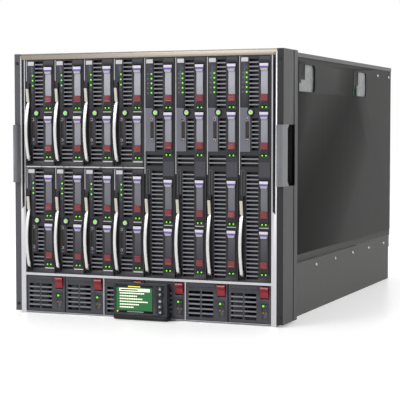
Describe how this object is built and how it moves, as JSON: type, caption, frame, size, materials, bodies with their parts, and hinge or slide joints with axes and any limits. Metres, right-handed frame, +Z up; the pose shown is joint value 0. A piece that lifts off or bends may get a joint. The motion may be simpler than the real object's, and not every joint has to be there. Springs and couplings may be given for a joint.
{
  "type": "blade server chassis",
  "caption": "Rack-mount blade enclosure with sliding server blades and power supplies at the front, a sliding display panel, and fans, modules and mains inlets at the rear.",
  "frame": {"origin": "on the surface it stands on, under the middle of the whole object", "axes": "+X to the right seen from the front, +Y from the front to the back, +Z up"},
  "size_m": [0.483, 0.813, 0.442],
  "materials": {
    "tub_paint": "satin grey powder coat",
    "wall_paint": "fine-textured black powder coat",
    "zinc_sheet": "galvanised sheet, sealed",
    "silver_trim": "bright satin aluminium",
    "black_plastic": "fine-textured moulding",
    "ear_paint": "dark grey powder coat",
    "board": "circuit board",
    "bezel_plastic": "dark grey moulding",
    "lever_metal": "bright cast lever",
    "psu_plastic": "dark grey moulding",
    "red_plastic": "burgundy moulding",
    "fan_plastic": "black moulding",
    "screw_metal": "plated steel",
    "button_metal": "silver button",
    "module_paint": "grey module case",
    "handle_silver": "silver carrier handle"
  },
  "bodies": {
    "chassis": {"base_pan": "tub_paint", "left_wall": "wall_paint", "right_wall": "wall_paint", "top_cover": "tub_paint", "power_deck": "zinc_sheet", "bay_dividers": "silver_trim", "guide_rails": "zinc_sheet", "midplane_board": "board", "power_backplane": "board", "front_trim": "silver_trim", "trim_insets": "black_plastic", "ear_left": "ear_paint", "ear_right": "ear_paint", "rear_cage": "zinc_sheet", "power_inlets": "zinc_sheet", "fan_units": "fan_plastic", "rear_modules": "module_paint", "screws": "screw_metal"},
    "server_01": {"server_01": "bezel_plastic"},
    "lever_01": {"lever_01": "lever_metal"},
    "server_02": {"server_02": "bezel_plastic"},
    "lever_02": {"lever_02": "lever_metal"},
    "server_03": {"server_03": "bezel_plastic"},
    "lever_03": {"lever_03": "lever_metal"},
    "server_04": {"server_04": "bezel_plastic"},
    "lever_04": {"lever_04": "lever_metal"},
    "server_05": {"server_05": "bezel_plastic"},
    "lever_05": {"lever_05": "lever_metal"},
    "server_06": {"server_06": "bezel_plastic"},
    "lever_06": {"lever_06": "lever_metal"},
    "server_07": {"server_07": "bezel_plastic"},
    "lever_07": {"lever_07": "lever_metal"},
    "server_08": {"server_08": "bezel_plastic"},
    "lever_08": {"lever_08": "lever_metal"},
    "server_09": {"server_09": "bezel_plastic"},
    "lever_09": {"lever_09": "lever_metal"},
    "server_10": {"server_10": "bezel_plastic"},
    "lever_10": {"lever_10": "lever_metal"},
    "server_11": {"server_11": "bezel_plastic"},
    "lever_11": {"lever_11": "lever_metal"},
    "server_12": {"server_12": "bezel_plastic"},
    "lever_12": {"lever_12": "lever_metal"},
    "power_supply_1": {"power_supply_1": "psu_plastic"},
    "power_supply_2": {"power_supply_2": "psu_plastic"},
    "power_supply_3": {"power_supply_3": "psu_plastic"},
    "power_supply_4": {"power_supply_4": "psu_plastic"},
    "power_supply_5": {"power_supply_5": "psu_plastic"},
    "power_supply_6": {"power_supply_6": "psu_plastic"},
    "psu_latch": {"psu_latch": "red_plastic"},
    "display": {"display_carriage": "black_plastic", "display_panel": "black_plastic"},
    "enter_key": {"enter_key": "black_plastic"},
    "fan_module": {"fan_module": "fan_plastic"},
    "fan_rotor": {"fan_rotor": "fan_plastic"},
    "interconnect_module": {"interconnect_module": "module_paint"},
    "admin_module": {"admin_module": "module_paint"},
    "drive_carrier": {"drive_carrier": "bezel_plastic"},
    "drive_handle": {"drive_handle": "handle_silver"},
    "drive_button": {"drive_button": "red_plastic"},
    "power_button": {"power_button": "button_metal"}
  },
  "joints": [
    {"name": "server_01_slide", "type": "slide", "parent": "chassis", "child": "server_01", "axis": [0, -1, 0], "range_m": [0, 0.45]},
    {"name": "lever_01_hinge", "type": "hinge", "parent": "server_01", "child": "lever_01", "pos_m": [-0.2135, -0.391, 0.2645], "axis": [1, 0, 0], "range_deg": [0, 60]},
    {"name": "server_02_slide", "type": "slide", "parent": "chassis", "child": "server_02", "axis": [0, -1, 0], "range_m": [0, 0.45]},
    {"name": "lever_02_hinge", "type": "hinge", "parent": "server_02", "child": "lever_02", "pos_m": [-0.1583, -0.391, 0.2645], "axis": [1, 0, 0], "range_deg": [0, 60]},
    {"name": "server_03_slide", "type": "slide", "parent": "chassis", "child": "server_03", "axis": [0, -1, 0], "range_m": [0, 0.45]},
    {"name": "lever_03_hinge", "type": "hinge", "parent": "server_03", "child": "lever_03", "pos_m": [-0.1031, -0.391, 0.2645], "axis": [1, 0, 0], "range_deg": [0, 60]},
    {"name": "server_04_slide", "type": "slide", "parent": "chassis", "child": "server_04", "axis": [0, -1, 0], "range_m": [0, 0.45]},
    {"name": "lever_04_hinge", "type": "hinge", "parent": "server_04", "child": "lever_04", "pos_m": [-0.0479, -0.391, 0.2645], "axis": [1, 0, 0], "range_deg": [0, 60]},
    {"name": "server_05_slide", "type": "slide", "parent": "chassis", "child": "server_05", "axis": [0, -1, 0], "range_m": [0, 0.45]},
    {"name": "lever_05_hinge", "type": "hinge", "parent": "server_05", "child": "lever_05", "pos_m": [-0.2135, -0.391, 0.0825], "axis": [1, 0, 0], "range_deg": [0, 60]},
    {"name": "server_06_slide", "type": "slide", "parent": "chassis", "child": "server_06", "axis": [0, -1, 0], "range_m": [0, 0.45]},
    {"name": "lever_06_hinge", "type": "hinge", "parent": "server_06", "child": "lever_06", "pos_m": [-0.1583, -0.391, 0.0825], "axis": [1, 0, 0], "range_deg": [0, 60]},
    {"name": "server_07_slide", "type": "slide", "parent": "chassis", "child": "server_07", "axis": [0, -1, 0], "range_m": [0, 0.45]},
    {"name": "lever_07_hinge", "type": "hinge", "parent": "server_07", "child": "lever_07", "pos_m": [-0.1031, -0.391, 0.0825], "axis": [1, 0, 0], "range_deg": [0, 60]},
    {"name": "server_08_slide", "type": "slide", "parent": "chassis", "child": "server_08", "axis": [0, -1, 0], "range_m": [0, 0.45]},
    {"name": "lever_08_hinge", "type": "hinge", "parent": "server_08", "child": "lever_08", "pos_m": [-0.0479, -0.391, 0.0825], "axis": [1, 0, 0], "range_deg": [0, 60]},
    {"name": "server_09_slide", "type": "slide", "parent": "chassis", "child": "server_09", "axis": [0, -1, 0], "range_m": [0, 0.45]},
    {"name": "lever_09_hinge", "type": "hinge", "parent": "server_09", "child": "lever_09", "pos_m": [0.0073, -0.391, 0.0825], "axis": [1, 0, 0], "range_deg": [0, 60]},
    {"name": "server_10_slide", "type": "slide", "parent": "chassis", "child": "server_10", "axis": [0, -1, 0], "range_m": [0, 0.45]},
    {"name": "lever_10_hinge", "type": "hinge", "parent": "server_10", "child": "lever_10", "pos_m": [0.0625, -0.391, 0.0825], "axis": [1, 0, 0], "range_deg": [0, 60]},
    {"name": "server_11_slide", "type": "slide", "parent": "chassis", "child": "server_11", "axis": [0, -1, 0], "range_m": [0, 0.45]},
    {"name": "lever_11_hinge", "type": "hinge", "parent": "server_11", "child": "lever_11", "pos_m": [0.1177, -0.391, 0.0825], "axis": [1, 0, 0], "range_deg": [0, 60]},
    {"name": "server_12_slide", "type": "slide", "parent": "chassis", "child": "server_12", "axis": [0, -1, 0], "range_m": [0, 0.45]},
    {"name": "lever_12_hinge", "type": "hinge", "parent": "server_12", "child": "lever_12", "pos_m": [0.1729, -0.391, 0.0825], "axis": [1, 0, 0], "range_deg": [0, 60]},
    {"name": "power_supply_1_slide", "type": "slide", "parent": "chassis", "child": "power_supply_1", "axis": [0, -1, 0], "range_m": [0, 0.45]},
    {"name": "power_supply_2_slide", "type": "slide", "parent": "chassis", "child": "power_supply_2", "axis": [0, -1, 0], "range_m": [0, 0.45]},
    {"name": "power_supply_3_slide", "type": "slide", "parent": "chassis", "child": "power_supply_3", "axis": [0, -1, 0], "range_m": [0, 0.0008]},
    {"name": "power_supply_4_slide", "type": "slide", "parent": "chassis", "child": "power_supply_4", "axis": [0, -1, 0], "range_m": [0, 0.0008]},
    {"name": "power_supply_5_slide", "type": "slide", "parent": "chassis", "child": "power_supply_5", "axis": [0, 1, 0], "range_m": [-0.45, 0]},
    {"name": "power_supply_6_slide", "type": "slide", "parent": "chassis", "child": "power_supply_6", "axis": [0, -1, 0], "range_m": [0, 0.45]},
    {"name": "psu_latch_hinge", "type": "hinge", "parent": "power_supply_1", "child": "psu_latch", "pos_m": [-0.1845, -0.386, 0.0467], "axis": [1, 0, 0], "range_deg": [0, 18], "stiffness_Nm_per_rad": 0.05, "springref_deg": -5.73},
    {"name": "display_slide", "type": "slide", "parent": "chassis", "child": "display", "axis": [1, 0, 0], "range_m": [-0.05, 0.05]},
    {"name": "enter_key_press", "type": "slide", "parent": "display", "child": "enter_key", "axis": [0, 1, 0], "range_m": [0, 0.0012], "stiffness_N_per_m": 400, "springref_m": -0.0004},
    {"name": "fan_module_slide", "type": "slide", "parent": "chassis", "child": "fan_module", "axis": [0, 1, 0], "range_m": [0, 0.19]},
    {"name": "fan_rotor_spin", "type": "hinge", "parent": "fan_module", "child": "fan_rotor", "pos_m": [-0.17652, 0.3235, 0.3917], "axis": [0, 1, 0], "continuous": true},
    {"name": "interconnect_slide", "type": "slide", "parent": "chassis", "child": "interconnect_module", "axis": [0, 1, 0], "range_m": [0, 0.22]},
    {"name": "admin_slide", "type": "slide", "parent": "chassis", "child": "admin_module", "axis": [0, 1, 0], "range_m": [0, 0.22]},
    {"name": "drive_slide", "type": "slide", "parent": "server_01", "child": "drive_carrier", "axis": [0, -1, 0], "range_m": [0, 0.085]},
    {"name": "drive_handle_hinge", "type": "hinge", "parent": "drive_carrier", "child": "drive_handle", "pos_m": [-0.1774, -0.3878, 0.4155], "axis": [-1, 0, 0], "range_deg": [0, 55]},
    {"name": "drive_button_press", "type": "slide", "parent": "drive_carrier", "child": "drive_button", "axis": [0, 1, 0], "range_m": [0, 0.002], "stiffness_N_per_m": 400, "springref_m": -0.0004},
    {"name": "power_button_press", "type": "slide", "parent": "server_01", "child": "power_button", "axis": [0, 1, 0], "range_m": [0, 0.0012], "stiffness_N_per_m": 400, "springref_m": -0.0004}
  ]
}
